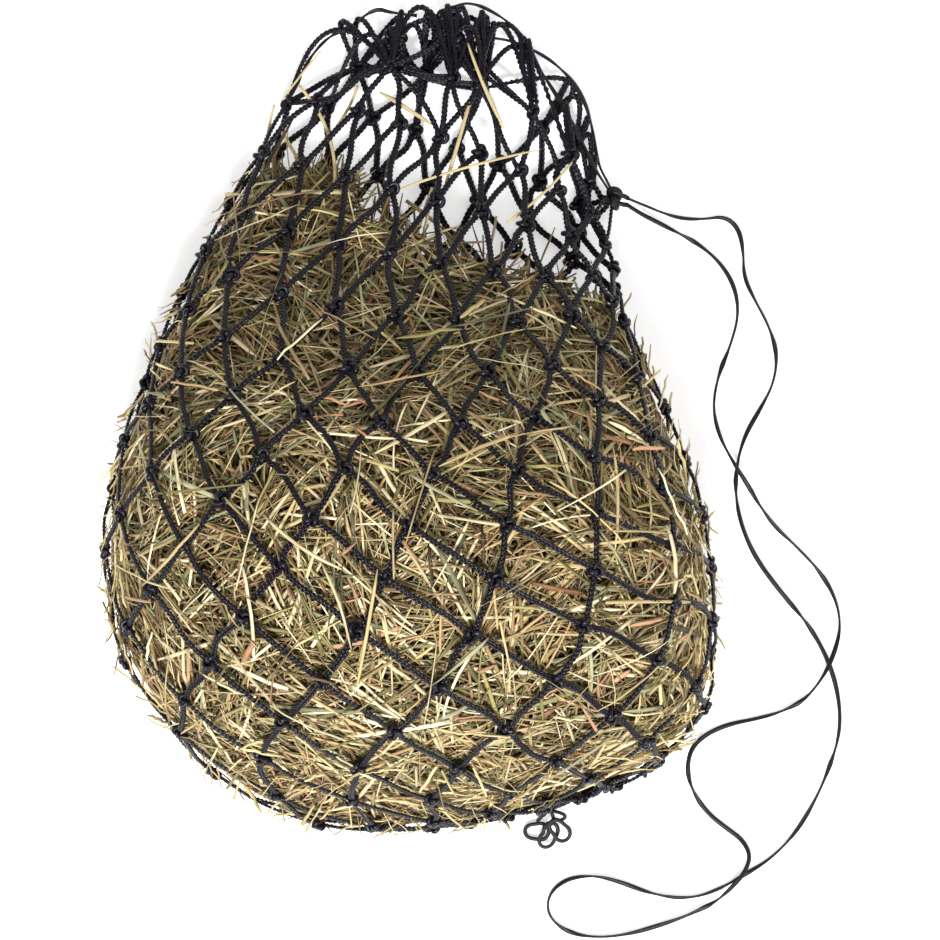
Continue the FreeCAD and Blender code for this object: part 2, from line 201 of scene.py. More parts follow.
def sweep(paths, half_w, half_t, sides, ref, twist=None, closed=False):
    """Tubes of elliptical section along (N, M, 3) paths, as vertices, faces and UVs."""
    n, m = paths.shape[:2]
    if closed:
        tangent = unit(np.roll(paths, -1, axis=1) - np.roll(paths, 1, axis=1))
    else:
        tangent = unit(np.gradient(paths, axis=1))
    side = np.empty_like(paths)
    side[:, 0] = unit(np.cross(tangent[:, 0], ref))
    for k in range(1, m):
        s = side[:, k - 1]
        side[:, k] = unit(s - tangent[:, k] * (s * tangent[:, k]).sum(-1, keepdims=True))
    up = np.cross(side, tangent)
    phase = np.zeros((n, m)) if twist is None else twist
    c, s = np.cos(phase)[..., None], np.sin(phase)[..., None]
    side, up = side * c + up * s, up * c - side * s
    w = np.broadcast_to(np.asarray(half_w, float), (n, m))[..., None, None]
    t = np.broadcast_to(np.asarray(half_t, float), (n, m))[..., None, None]
    a = np.arange(sides) / sides * 2 * np.pi
    ring = (side[:, :, None] * np.cos(a)[None, None, :, None] * w
            + up[:, :, None] * np.sin(a)[None, None, :, None] * t)
    verts = (paths[:, :, None] + ring).reshape(-1, 3)
    base = (np.arange(n) * m * sides)[:, None, None]
    steps = m if closed else m - 1
    i = np.arange(steps)[None, :, None]
    j = np.arange(sides)[None, None, :]
    nxt, i2 = (j + 1) % sides, (i + 1) % m
    quads = np.stack([base + i * sides + j, base + i * sides + nxt,
                      base + i2 * sides + nxt, base + i2 * sides + j], axis=-1).reshape(-1, 4)
    run = np.concatenate([np.zeros((n, 1)), np.cumsum(np.linalg.norm(
        np.diff(paths, axis=1), axis=-1), axis=1)], axis=1)
    faces = quads.tolist()
    if not closed:
        for k in range(n):
            first = k * m * sides
            faces.append([first + q for q in range(sides)][::-1])
            faces.append([first + (m - 1) * sides + q for q in range(sides)])
    per_vertex = np.stack([np.broadcast_to(a / (2 * np.pi), (n, m, sides)),
                           np.broadcast_to(run[..., None] / PLAIT_PITCH, (n, m, sides))], axis=-1)
    return verts, faces, per_vertex.reshape(-1, 2)


def joined(chunks):
    verts, faces, uvs, start = [], [], [], 0
    for v, f, uv in chunks:
        verts.append(v)
        faces += [[start + q for q in face] for face in f]
        uvs.append(uv)
        start += len(v)
    return np.concatenate(verts), faces, np.concatenate(uvs)


def piece(name, built, material, shade=None):
    verts, faces, uv = built
    mesh = bpy.data.meshes.new(name)
    mesh.from_pydata(verts.tolist(), [], faces)
    loops = np.empty(len(mesh.loops), np.int32)
    mesh.loops.foreach_get("vertex_index", loops)
    layer = mesh.uv_layers.new(name="UVMap")
    layer.data.foreach_set("uv", uv[loops].astype(np.float32).reshape(-1))
    if shade is not None:
        tone = mesh.attributes.new("tone", "FLOAT", "POINT")
        tone.data.foreach_set("value", shade.astype(np.float32))
    mesh.polygons.foreach_set("use_smooth", [True] * len(mesh.polygons))
    mesh.materials.append(material)
    mesh.update()
    obj = bpy.data.objects.new(name, mesh)
    bpy.context.scene.collection.objects.link(obj)
    return obj


def through(points, count):
    """Smooth paths that start at, pass and end at three points each, given in millimetres."""
    a, b, c = (np.array([p[k] for p in points], float)[:, None] * MM for k in range(3))
    u = np.linspace(0, 1, count)[None, :, None]
    return (1 - u) ** 2 * a + 2 * u * (1 - u) * (2 * b - (a + c) / 2) + u**2 * c


# ---------------------------------------------------------------- materials
def linear(rgb):
    return [((c / 255 + 0.055) / 1.055) ** 2.4 if c > 10 else c / 255 / 12.92 for c in rgb]


def new_material(name, roughness):
    material = bpy.data.materials.new(name)
    material.use_nodes = True
    nodes = material.node_tree.nodes
    shader = nodes["Principled BSDF"]
    shader.inputs["Roughness"].default_value = roughness
    return material, nodes, material.node_tree.links, shader


def twine_material(name, dark, light, roughness):
    """Shiny plaited filaments: fine lines along each strand, with slightly uneven dye."""
    material, nodes, links, shader = new_material(name, roughness)
    coords = nodes.new("ShaderNodeTexCoord")
    stretch = nodes.new("ShaderNodeMapping")
    stretch.inputs["Scale"].default_value = (14.0, 1.2, 1.0)
    lines = nodes.new("ShaderNodeTexNoise")
    lines.inputs["Scale"].default_value = 1.6
    lines.inputs["Detail"].default_value = 3.0
    patches = nodes.new("ShaderNodeTexNoise")
    patches.inputs["Scale"].default_value = 60.0
    mix = nodes.new("ShaderNodeMix")
    mix.data_type = "FLOAT"
    mix.inputs[0].default_value = 0.45
    ramp = nodes.new("ShaderNodeValToRGB")
    ramp.color_ramp.elements[0].position = 0.38
    ramp.color_ramp.elements[0].color = (*linear(dark), 1)
    ramp.color_ramp.elements[1].position = 0.68
    ramp.color_ramp.elements[1].color = (*linear(light), 1)
    bump = nodes.new("ShaderNodeBump")
    bump.inputs["Strength"].default_value = 0.5
    bump.inputs["Distance"].default_value = 0.0003
    links.new(coords.outputs["UV"], stretch.inputs["Vector"])
    links.new(stretch.outputs[0], lines.inputs["Vector"])
    links.new(coords.outputs["Object"], patches.inputs["Vector"])
    links.new(lines.outputs["Fac"], mix.inputs[2])
    links.new(patches.outputs["Fac"], mix.inputs[3])
    links.new(mix.outputs[0], ramp.inputs["Fac"])
    links.new(ramp.outputs["Color"], shader.inputs["Base Color"])
    links.new(lines.outputs["Fac"], bump.inputs["Height"])
    links.new(bump.outputs["Normal"], shader.inputs["Normal"])
    shader.inputs["Specular IOR Level"].default_value = 0.3
    return material


def hay_material(name, dark, light, roughness=0.62):
    """Dry stems: lines along each, blotches across them, and a tone for each stem from its tone
    attribute, which holds the stem's own tone and also painted shade on deeper stems.
    """
    material, nodes, links, shader = new_material(name, roughness)
    tone = nodes.new("ShaderNodeAttribute")
    tone.attribute_name = "tone"
    coords = nodes.new("ShaderNodeTexCoord")
    grain = nodes.new("ShaderNodeTexNoise")
    grain.inputs["Scale"].default_value = 90.0
    grain.inputs["Detail"].default_value = 4.0
    stretch = nodes.new("ShaderNodeMapping")
    stretch.inputs["Scale"].default_value = (9.0, 0.8, 1.0)
    lines = nodes.new("ShaderNodeTexNoise")
    lines.inputs["Scale"].default_value = 1.4
    blend = nodes.new("ShaderNodeMath")
    blend.operation = "MULTIPLY_ADD"
    blend.inputs[1].default_value = 0.55
    shift = nodes.new("ShaderNodeMath")
    shift.operation = "SUBTRACT"
    shift.inputs[1].default_value = 0.28
    ramp = nodes.new("ShaderNodeValToRGB")
    ramp.color_ramp.elements[0].position = 0.15
    ramp.color_ramp.elements[0].color = (*linear(dark), 1)
    ramp.color_ramp.elements[1].position = 0.9
    ramp.color_ramp.elements[1].color = (*linear(light), 1)
    bump = nodes.new("ShaderNodeBump")
    bump.inputs["Strength"].default_value = 0.35
    bump.inputs["Distance"].default_value = 0.0003
    links.new(coords.outputs["Object"], grain.inputs["Vector"])
    links.new(coords.outputs["UV"], stretch.inputs["Vector"])
    links.new(stretch.outputs[0], lines.inputs["Vector"])
    links.new(grain.outputs["Fac"], blend.inputs[0])
    links.new(tone.outputs["Fac"], blend.inputs[2])
    links.new(blend.outputs[0], shift.inputs[0])
    links.new(shift.outputs[0], ramp.inputs["Fac"])
    links.new(ramp.outputs["Color"], shader.inputs["Base Color"])
    links.new(lines.outputs["Fac"], bump.inputs["Height"])
    links.new(bump.outputs["Normal"], shader.inputs["Normal"])
    shader.inputs["Specular IOR Level"].default_value = 0.4
    return material


TWINE = twine_material("plaited_twine", (3, 2, 5), (22, 16, 31), 0.34)
THIN_CORD = twine_material("thin_cord", (8, 7, 9), (38, 36, 40), 0.5)
DRAWCORD = twine_material("flat_drawcord", (4, 4, 5), (20, 20, 24), 0.45)


# ---------------------------------------------------------------- plaits
def plait(paths, ref, scale=0.88):
    """Three strands woven flat along each of (N, M, 3) paths."""
    n, m = paths.shape[:2]
    tangent = unit(np.gradient(paths, axis=1))
    side = unit(np.cross(tangent, np.broadcast_to(ref[:, None], paths.shape)))
    up = np.cross(side, tangent)
    run = np.concatenate([np.zeros((n, 1)), np.cumsum(np.linalg.norm(
        np.diff(paths, axis=1), axis=-1), axis=1)], axis=1)
    strands = []
    offset = RNG.uniform(0, 2 * np.pi, (n, 1))
    for j in range(3):
        phase = 2 * np.pi * (run / PLAIT_PITCH + j / 3) + offset
        strands.append(paths + side * (TWINE_HALF * scale * np.sin(phase))[..., None]
                       + up * (TWINE_RISE * scale * np.sin(2 * phase))[..., None])
    strands = np.concatenate(strands)
    return sweep(strands, STRAND_R * scale, STRAND_R * scale * STRAND_FLAT, STRAND_SIDES,
                 np.concatenate([ref] * 3))


def leg_paths(pairs, count, sag=1.2 * MM, bow=1.6 * MM, on_hay=False):
    """Paths between pairs of points, each slightly bowed in and across."""
    a, b = np.array([p[0] for p in pairs]), np.array([p[1] for p in pairs])
    _, normal = nearest((a + b) / 2)
    u = np.linspace(0, 1, count)[None, :, None]
    across = unit(np.cross(b - a, normal))
    hump = np.sin(np.pi * u)
    swing = RNG.normal(0, 1, (len(a), 1, 1)) * bow
    wave = RNG.normal(0, 0.5, (len(a), 1, 1)) * bow * np.sin(2 * np.pi * u)
    lift = RNG.uniform(0.2, 1.5, (len(a), 1, 1)) * sag
    paths = a[:, None] + (b - a)[:, None] * u
    paths = paths + across[:, None] * (swing * hump + wave) + normal[:, None] * lift * hump
    if on_hay:                               # pressed out to the round of the hay
        surface, out = nearest(paths)
        short = ((surface - paths) * out).sum(-1)
        paths = paths + out * (hump[..., 0] ** 0.5 * np.clip(short, 0, 7 * MM))[..., None]
    paths[..., 2] = np.maximum(paths[..., 2], FLOOR_AIR)
    return paths, normal


def rotation_about(axis, angle):
    """Rotation matrices about (N, 3) axes."""
    x, y, z = axis.T
    c, s = np.cos(angle), np.sin(angle)
    t = 1 - c
    return np.stack([np.stack([t * x * x + c, t * x * y - s * z, t * x * z + s * y], -1),
                     np.stack([t * x * y + s * z, t * y * y + c, t * y * z - s * x], -1),
                     np.stack([t * x * z - s * y, t * y * z + s * x, t * z * z + c], -1)], -2)


def knot_tubes(centres, loop=KNOT_LOOP, thick=KNOT_THICK):
    """A sheet bend pulled tight: one strand wound into three small loops, as a lumpy knot."""
    n, m = len(centres), 42
    _, normal = nearest(centres)
    t = np.linspace(0, 2 * np.pi, m, endpoint=False)
    shape = np.stack([np.sin(t) + 2 * np.sin(2 * t), np.cos(t) - 2 * np.cos(2 * t),
                      -1.25 * np.sin(3 * t)], axis=-1) / 3
    side = unit(np.cross(normal, np.array([0.3, 1.0, 0.1])))
    up = np.cross(normal, side)
    spin = rotation_about(normal, RNG.uniform(0, 2 * np.pi, n))
    side, up = np.einsum("nij,nj->ni", spin, side), np.einsum("nij,nj->ni", spin, up)
    size = loop * RNG.uniform(0.9, 1.1, (n, 1, 1))
    stretch = RNG.uniform(0.85, 1.15, (n, 1, 1))
    paths = centres[:, None] + size * (
        side[:, None] * shape[None, :, :1] * stretch + up[:, None] * shape[None, :, 1:2]
        + normal[:, None] * shape[None, :, 2:3] * 1.05)
    return sweep(paths, thick, thick * 0.8, 7, normal, closed=True)


def apart(a, b):
    return np.linalg.norm(a - b)


def closest(points, to):
    """The one of some points that is nearest to a place."""
    return points[np.linalg.norm(points - to, axis=1).argmin()]


def to_knots(legs, low, high):
    """The pairs of knot middles that the CAD legs of a course join."""
    pairs = []
    for p, q in legs:
        a, b, c, d = closest(low, p), closest(high, q), closest(low, q), closest(high, p)
        if apart(p, a) + apart(q, b) > apart(q, c) + apart(p, d):
            a, b, p, q = c, d, q, p
        pairs.append((a + (p - a) * 0.35, b + (q - b) * 0.35))
    return pairs


def netting():
    for r in range(1, ROWS):
        paths, normal = leg_paths(to_knots(LEGS[r], KNOTS[r], KNOTS[r + 1]), 42,
                                  on_hay=r < HAY_ROWS)
        name = f"twine_course_{r:02d}"
        drawn = np.clip((r - 9) / 4, 0, 1)       # no hay hides the neck's twine and its knots
        built = joined([plait(paths, normal, 0.9 + 0.14 * drawn),
                        knot_tubes(KNOTS[r], KNOT_LOOP * (1.08 + 0.1 * drawn))])
        obj = piece(name, built, TWINE)
        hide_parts(f"mesh_course_{r:02d}", f"knot_row_{r:02d}")
        if r < FOLD_ROW:
            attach(obj, "bag")
        elif r == FOLD_ROW:
            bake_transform(obj)
        else:
            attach(obj, "neck")


netting()


# ---------------------------------------------------------------- base and mouth
def to_ends(legs, knots):
    """Legs from knots to where the CAD leg ends."""
    pairs = []
    for p, q in legs:
        dp, dq = (np.linalg.norm(knots - e, axis=1).min() for e in (p, q))
        if dq < dp:
            p, q = q, p
        a = closest(knots, p)
        pairs.append((a + (p - a) * 0.3, q + (q - p) * 0.06))
    return pairs


def base_gather():
    paths, normal = leg_paths(to_ends(BASE_LEGS, KNOTS[1]), 36, sag=2 * MM, bow=2.5 * MM)
    chunks = [plait(paths, normal)]
    lo, hi = (np.array(c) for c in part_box("base_bunch"))
    half = 7.0 * MM
    height = 12.5 * MM
    a = np.array([lo[0] + half, lo[1] + half, height])
    b = np.array([hi[0] - half, hi[1] - half, height])
    along = unit(b - a)
    side = unit(np.cross(along, [0, 0, 1.0]))
    up = np.cross(side, along)
    count, m = 20, 46
    near = np.argsort(np.linalg.norm(KNOTS[1] - b, axis=1))[:7]
    u = np.linspace(0, 1, m)
    strands = []
    for k in range(count):
        radius = 6.4 * MM * math.sqrt((k + 0.5) / count)
        phase = 2.399 * k + u * 1.7 + 0.25 * np.sin(u * 9 + k)
        end = RNG.uniform(-0.05, 0.12)
        line = a + (b - a) * (u * (1 - end))[:, None] + side * (radius * np.cos(phase))[:, None] \
            + up * (radius * np.sin(phase))[:, None]
        to_knot = KNOTS[1][near[k % len(near)]] - line[-1]
        strands.append(line + to_knot * (u**4)[:, None])
    strands = np.array(strands)
    chunks.append(plait(strands, np.broadcast_to(up, (count, 3)).copy(), scale=0.85))
    knots = a + (b - a) * RNG.uniform(0.15, 1.0, (9, 1)) + side * RNG.uniform(-5, 5, (9, 1)) * MM \
        + up * RNG.uniform(0, 5.5, (9, 1)) * MM
    chunks.append(knot_tubes(knots, loop=3.4 * MM, thick=1.6 * MM))
    obj = piece("base_bundle", joined(chunks), TWINE)
    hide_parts("base_course", "base_bunch")
    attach(obj, "bag")
    turns = []
    for part in loose_parts("base_gather_cord"):
        mid = part.mean(0)
        t = np.linspace(0, 2 * np.pi, 40, endpoint=False)
        turns.append(mid + (side * np.cos(t)[:, None] + up * np.sin(t)[:, None]) * 8.3 * MM)
    obj = piece("base_whipping", sweep(np.array(turns), 1.2 * MM, 1.2 * MM, 8,
                                       np.broadcast_to(along, (len(turns), 3)), closed=True),
                THIN_CORD)
    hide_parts("base_gather_cord")
    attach(obj, "bag")


base_gather()


def tie_loops():
    """Three small loops of thin cord, each a little out of round."""
    paths = []
    for k, part in enumerate(loose_parts("base_tie_loops")):
        mid = box_middle(part)
        axis = np.linalg.svd(part - part.mean(0), full_matrices=False)[2]
        t = np.linspace(0, 2 * np.pi, 56, endpoint=False)
        oval = (1.3, 2.0, 1.6)[k] * np.cos(2 * t + 2.3 * k)
        radius = (6.4 + oval + 0.3 * np.cos(3 * t + 2 * k)) * MM
        x, y = (radius * np.cos(t))[:, None], (radius * np.sin(t))[:, None]
        paths.append(mid + axis[0] * x + axis[1] * y)
    up = np.array([[0, 0, 1.0]] * len(paths))
    rings = sweep(np.array(paths), 1.35 * MM, 1.1 * MM, 8, up, closed=True)
    tails = [[box_middle(p) / MM + [0, 6.5, 0], box_middle(p) / MM + [3, 10, 2], (90, -250, 10)]
             for p in loose_parts("base_tie_loops")]
    tails = sweep(through(tails, 12), 1.2 * MM, 1.2 * MM, 8, up)
    obj = piece("tie_loops", joined([rings, tails]), THIN_CORD)
    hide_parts("base_tie_loops")
    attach(obj, "base_loops")


tie_loops()


# Where the last meshes hang, in millimetres: on top from left to right, then back underneath
HUNG = [(-64, 238, 9), (-48, 253, 9), (-30, 262, 11), (-8, 264, 16), (22, 268, 17), (44, 264, 14),
        (74, 246, 13), (98, 205, 14), (117, 171, 7), (113, 197, 6), (100, 221, 6), (78, 240, 6),
        (52, 258, 8), (26, 262, 8), (-10, 256, 7), (-40, 250, 6)]
# Loops of twine that stand over the cord, as start, top and end
ARCS = [
    [(-30, 226, 12), (-44, 260, 13), (-14, 240, 15)], [(-16, 232, 15), (-33, 262, 12), (-52, 240, 10)],
    [(-14, 228, 18), (-30, 250, 16), (-64, 232, 10)], [(-20, 222, 17), (-52, 254, 11), (-70, 224, 9)],
    [(0, 238, 14), (12, 266, 17), (42, 262, 12)], [(6, 230, 13), (16, 260, 15), (48, 252, 14)],
    [(12, 232, 12), (28, 266, 12), (62, 254, 12)], [(26, 238, 16), (48, 264, 13), (72, 246, 9)],
    [(20, 236, 14), (38, 256, 18), (66, 232, 14)], [(34, 240, 14), (64, 258, 10), (86, 230, 8)],
    [(40, 230, 14), (70, 244, 12), (94, 214, 10)], [(16, 228, 16), (2, 258, 13), (-12, 236, 16)],
]
# Strands drawn together: tip, root, spread at the root, number of strands
BUNDLES = [((-9, 256, 13), (-15, 192, 19), 13, 22), ((22, 268, 12), (36, 222, 15), 11, 14)]
EXIT_KNOT = (131, 146, 9)


def mouth_bundle():
    """The last meshes on the cord, and the strands that are drawn together there."""
    hung = np.array(HUNG, float) * MM
    ends = {}
    for a, q in to_ends(MOUTH_LEGS, KNOTS[ROWS]):
        knot = closest(KNOTS[ROWS], a)
        top = np.linalg.norm((hung - q) * [1, 0.6, 1.4], axis=1).argmin()
        ends.setdefault(top, []).append(knot)
    last = {k: 0.5 * np.mean(v, axis=0) + 0.5 * hung[k] for k, v in ends.items()}
    pairs = [(knot, last[k]) for k, v in ends.items() for knot in v]
    paths, normal = leg_paths(pairs, 34, sag=1.5 * MM, bow=2.4 * MM)
    last_knots = np.array(list(last.values()))
    chunks = [plait(paths, normal, 0.98), knot_tubes(KNOTS[ROWS], KNOT_LOOP * 1.12),
              knot_tubes(last_knots, KNOT_LOOP * 1.08)]
    order = sorted(last)
    loops = []
    for k, nxt in zip(order, order[1:] + order[:1]):
        top = (hung[k] + hung[nxt]) / 2 if np.linalg.norm(hung[k] - hung[nxt]) < 0.04 else hung[k]
        over = top + unit(top - (last[k] + last[nxt]) / 2) * 3 * MM
        loops.append([last[k] / MM, over / MM, last[nxt] / MM])
        loops.append([last[k] / MM, (hung[k] + [0.002, 0.002, 0]) / MM, last[k] / MM + [3, 2, 2]])
    held = np.concatenate([last_knots, KNOTS[ROWS]])
    for start, top, end in ARCS:
        start, end = (closest(held, np.array(e) * MM) / MM for e in (start, end))
        loops.append([start, top, end])
    arcs = through(loops, 44)
    up = np.array([[0.1, 0.2, 1.0]] * len(arcs))
    chunks.append(plait(arcs, up, 0.95))
    for tip, root, spread, count in BUNDLES:
        tip, root = np.array(tip) * MM, np.array(root) * MM
        along = unit(root - tip)
        side = unit(np.cross(along, [0, 0, 1.0]))
        up = np.cross(side, along)
        m = 44
        u = np.linspace(0, 1, m)
        near = np.argsort(np.linalg.norm(last_knots - root, axis=1))[:6]
        strands = []
        for k in range(count):
            out = math.sqrt((k + 0.5) / count)
            phase = 2.399 * k + 0.7 * u + 0.3 * np.sin(7 * u + k)
            width = (3.5 + (spread - 3.5) * u**1.2) * MM * out
            rise = (4.0 + 2.0 * u) * MM * out
            line = tip + (root - tip) * u[:, None] + side * (width * np.cos(phase))[:, None] \
                + up * (rise * np.sin(phase))[:, None]
            to_knot = last_knots[near[k % len(near)]] - line[-1]
            strands.append(line + to_knot * (u**2.2)[:, None])
        strands = np.array(strands)
        chunks.append(plait(strands, np.broadcast_to(up, (count, 3)).copy(), scale=0.92))
        places = strands[RNG.integers(0, count, 16), RNG.integers(2, m * 3 // 4, 16)]
        chunks.append(knot_tubes(places, loop=3.9 * MM, thick=1.8 * MM))
    # The mesh that the drawcord leaves by is tied to its knot
    exit_knot = np.array(EXIT_KNOT) * MM
    around_it = np.concatenate([KNOTS[14], KNOTS[15], KNOTS[ROWS], last_knots])
    near = around_it[np.argsort(np.linalg.norm(around_it - exit_knot, axis=1))[:5]]
    paths, normal = leg_paths([(k, exit_knot + (k - exit_knot) * 0.12) for k in near], 34)
    chunks.append(plait(paths, normal, 0.95))
    obj = piece("mouth_bundle", joined(chunks), TWINE)
    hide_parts("mouth_course", "knot_row_16", "mouth_bunch_left", "mouth_bunch_right")
    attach(obj, "neck")


mouth_bundle()


# ---------------------------------------------------------------- drawcord
# The cord's routes, as the corners of smooth curves in millimetres
CORD_IN_MOUTH = {
    "outer": [(128, 156, 7), (122, 167, 6), (119, 181, 5), (117, 196, 5), (112, 211, 5),
              (103, 225, 5), (91, 236, 5), (77, 244, 5), (63, 249, 6), (50, 250.5, 8)],
    "inner": [(31, 272, 12), (42, 272, 10), (55, 266, 9), (67, 257, 10), (76, 245, 10.4),
              (82, 232, 10.4), (92, 216, 10.8), (103, 199, 10.8), (111, 182, 10.8),
              (117, 169, 10.8), (123, 159, 11.2)],
    "left": [(-13, 266, 11), (-21, 269, 9), (-30, 265, 7), (-37, 258, 6), (-46, 255, 6),
             (-57, 248, 6), (-67, 235, 6)],
}
CORD_FREE = [
    (139.5, 146.5, 8.0), (149, 143, 5.6), (161, 138, 3.2), (175, 133.5, 1.8), (190, 133, 1.8),
    (204, 135, 1.8), (213, 127, 1.8), (216, 112, 1.8), (216, 96, 1.8), (223, 81, 1.8),
    (232, 65, 1.8), (238, 46, 1.8), (236, 27, 1.8), (227, 10, 1.8), (217, -7, 1.8),
    (212, -24, 1.8), (210.5, -42, 1.8), (213.5, -63, 1.8), (223, -86, 1.8), (240, -109, 1.8),
    (259, -131, 1.8), (271.5, -154, 1.8), (278, -177, 1.8), (279, -200, 1.8), (272, -223, 1.8),
    (262, -246, 1.8), (249, -267, 1.8), (234, -282, 1.8), (218, -292, 1.8), (202, -301, 1.8),
    (187, -307, 1.8), (171, -308, 1.8), (153, -304, 1.8), (135, -297, 1.8), (118, -293, 1.8),
    (102, -295, 1.8), (90.5, -303.5, 1.8), (88, -316, 1.8), (95, -326, 1.8), (108, -332, 1.8),
    (125, -333.5, 1.8), (143, -331, 1.8), (160, -326, 1.8), (175, -321, 2.2), (188, -315, 4.4),
    (199, -308.5, 7.4), (208, -300, 8.6), (216, -291, 8.6), (220.5, -280.5, 6.0),
    (215.5, -270, 3.2), (205, -262.5, 1.8), (193, -253, 1.8), (183.5, -240, 1.8),
    (179, -225, 1.8), (182, -210, 1.8), (193, -200.5, 1.8), (208, -194.5, 1.8),
    (224, -191.5, 1.8), (240.5, -187, 1.8), (255, -179.5, 4.6), (266.5, -165, 8.6),
    (274.5, -148.5, 8.6), (279, -131, 4.6), (276, -113, 1.8), (265.5, -95.5, 1.8),
    (250.5, -79.5, 1.8), (236.5, -67, 1.8), (226, -52.5, 4.6), (217, -37.5, 8.6),
    (206.5, -21, 8.6), (199, -5, 4.6), (196, 13, 1.8), (200, 33, 1.8), (208, 52, 1.8),
    (213, 71, 1.8), (210.5, 89, 1.8), (201, 105, 1.8), (187, 117, 1.8), (171, 125.5, 1.8),
    (158, 132, 3.2), (148, 137, 5.6), (139.4, 142.4, 8.0),
]


def centreline(points):
    """Points along the smooth curve that the route's corners control."""
    curve = bpy.data.curves.new("route", "CURVE")
    curve.dimensions = "3D"
    spline = curve.splines.new("NURBS")
    spline.points.add(len(points) - 1)
    for target, p in zip(spline.points, points):
        target.co = (p[0] * MM, p[1] * MM, p[2] * MM, 1)
    spline.order_u = 3
    spline.use_endpoint_u = True
    spline.resolution_u = 8
    holder = bpy.data.objects.new("route", curve)
    bpy.context.scene.collection.objects.link(holder)
    mesh = bpy.data.meshes.new_from_object(holder)
    line = np.array([v.co for v in mesh.vertices], float)
    bpy.data.objects.remove(holder)
    bpy.data.curves.remove(curve)
    bpy.data.meshes.remove(mesh)
    return line


def flat_cord(line, turns):
    run = np.concatenate([[0], np.cumsum(np.linalg.norm(np.diff(line, axis=0), axis=1))])
    u = run / run[-1]
    twist = 2 * np.pi * turns * u + 0.9 * np.sin(2 * np.pi * u * turns * 1.7 + 1) \
        + 0.5 * np.sin(2 * np.pi * u * turns * 3.1)
    return sweep(line[None], CORD_WIDTH / 2, CORD_THICK / 2, 10, np.array([[0, 0, 1.0]]),
                 twist=twist[None])


def drawcord():
    routes = [[(132, 147, 9)] + CORD_IN_MOUTH["outer"] + [(38, 254, 11), (24, 262, 12)],
              [(12, 262, 12)] + CORD_IN_MOUTH["inner"] + [(131, 147, 10)],
              [(4, 264, 12)] + CORD_IN_MOUTH["left"] + [(-74, 220, 8), (-80, 207, 12)]]
    chunks = [flat_cord(centreline(points), 1.2) for points in routes]
    obj = piece("drawcord_in_meshes", joined(chunks), DRAWCORD)
    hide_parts("drawcord_in_mouth")
    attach(obj, "neck")

    centre = np.array([EXIT_KNOT]) * MM
    stubs = through([[(130, 147, 10), (136, 148, 9), (141, 146, 7.6)],
                     [(131, 144, 9), (136, 142.5, 9), (140.8, 141.8, 7.6)]], 9)
    knot = joined([knot_tubes(centre, loop=6.6 * MM, thick=2.0 * MM),
                   knot_tubes(centre + [[MM, MM, MM]], loop=4.4 * MM, thick=2.0 * MM),
                   sweep(stubs, CORD_WIDTH / 2, CORD_THICK / 2, 8, np.array([[0, 0, 1.0]] * 2))])
    obj = piece("drawcord_knot", knot, DRAWCORD)
    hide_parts("drawcord_exit_knot")
    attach(obj, "neck")

    line = centreline(CORD_FREE)
    obj = piece("drawcord_loop", flat_cord(line, 9), DRAWCORD)
    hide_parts("drawcord_free_loop")
    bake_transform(obj)


drawcord()


# ---------------------------------------------------------------- hay
def hay_top(x):
    """The y where the hay ends towards the neck."""
    return 0.121 - 0.38 * x


def over_bundle(at, reach):
    """True where a point lies over the base bundle or beyond it, seen from above."""
    a, b = np.array([0.079, -0.247]), np.array([0.140, -0.222])
    along = (b - a) / np.linalg.norm(b - a)
    run = (at[..., :2] - a) @ along
    out = (at[..., :2] - a) @ np.array([along[1], -along[0]])
    return (out > -reach) & (run > -0.01) & (run < 0.068)


def hay_patches():
    """Cells of the bag's surface that have hay under them, with each one's area."""
    a = GRID[1:] - GRID[:-1]
    b = np.roll(GRID, -1, axis=1) - GRID
    area = np.linalg.norm(np.cross(a, b[:-1]), axis=2)
    middle = GRID[:-1]
    ragged = RNG.normal(0, 7 * MM, middle.shape[:2])
    inside = middle[..., 1] < hay_top(middle[..., 0]) + ragged
    inside[:3] = False
    under = NORMAL[:-1, :, 2] < -0.5
    weight = np.where(inside, area, 0) * np.where(under, 0.45, 1.0)
    return weight / weight.sum()


PATCH_WEIGHT = hay_patches().reshape(-1)


def hay_shade_core():
    """The dark mass behind the loose stems, drawn in from the net: painted shade, a dark sheet where
    the packed hay lies in shadow.
    """
    rings, normals = GRID[3::3], NORMAL[3::3]
    verts = rings - normals * CORE_DEPTH
    over = verts[..., 1] - (hay_top(verts[..., 0]) - 12 * MM)
    past = np.clip(over, 0, None)            # how far it would lie beyond the hay's top edge
    verts[..., 1] -= past
    lower = verts[..., 2] * np.clip(1 - past / 0.09, 0.25, 1)
    verts[..., 2] = np.maximum(np.where(past > 0, lower, verts[..., 2]), 6 * MM)
    keep = (over < 0.03).any(axis=1)
    verts = verts[keep]
    n, m = verts.shape[:2]
    noise = RNG.normal(0, 1.6 * MM, (n, m, 1))
    verts = verts + noise * normals[keep]
    verts[..., 2] = np.maximum(verts[..., 2], 5 * MM)
    flat = verts.reshape(-1, 3)
    faces = []
    for i in range(n - 1):
        for j in range(m):
            k = (j + 1) % m
            faces.append([i * m + j, i * m + k, (i + 1) * m + k, (i + 1) * m + j])
    faces.append(list(range(m))[::-1])
    faces.append([(n - 1) * m + j for j in range(m)])
    uv = np.zeros((len(flat), 2))
    # painted shade: very dark browns stand for the shadow between and under the stems
    shadow = hay_material("hay_shadow", (16, 12, 8), (56, 44, 28), 0.9)
    obj = piece("hay_shade_core", (flat, faces, uv), shadow, shade=np.full(len(flat), 0.4))
    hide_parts("hay_flake_1", "hay_flake_2", "hay_flake_3", "hay_flake_4", "hay_flake_5")
    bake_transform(obj)


hay_shade_core()


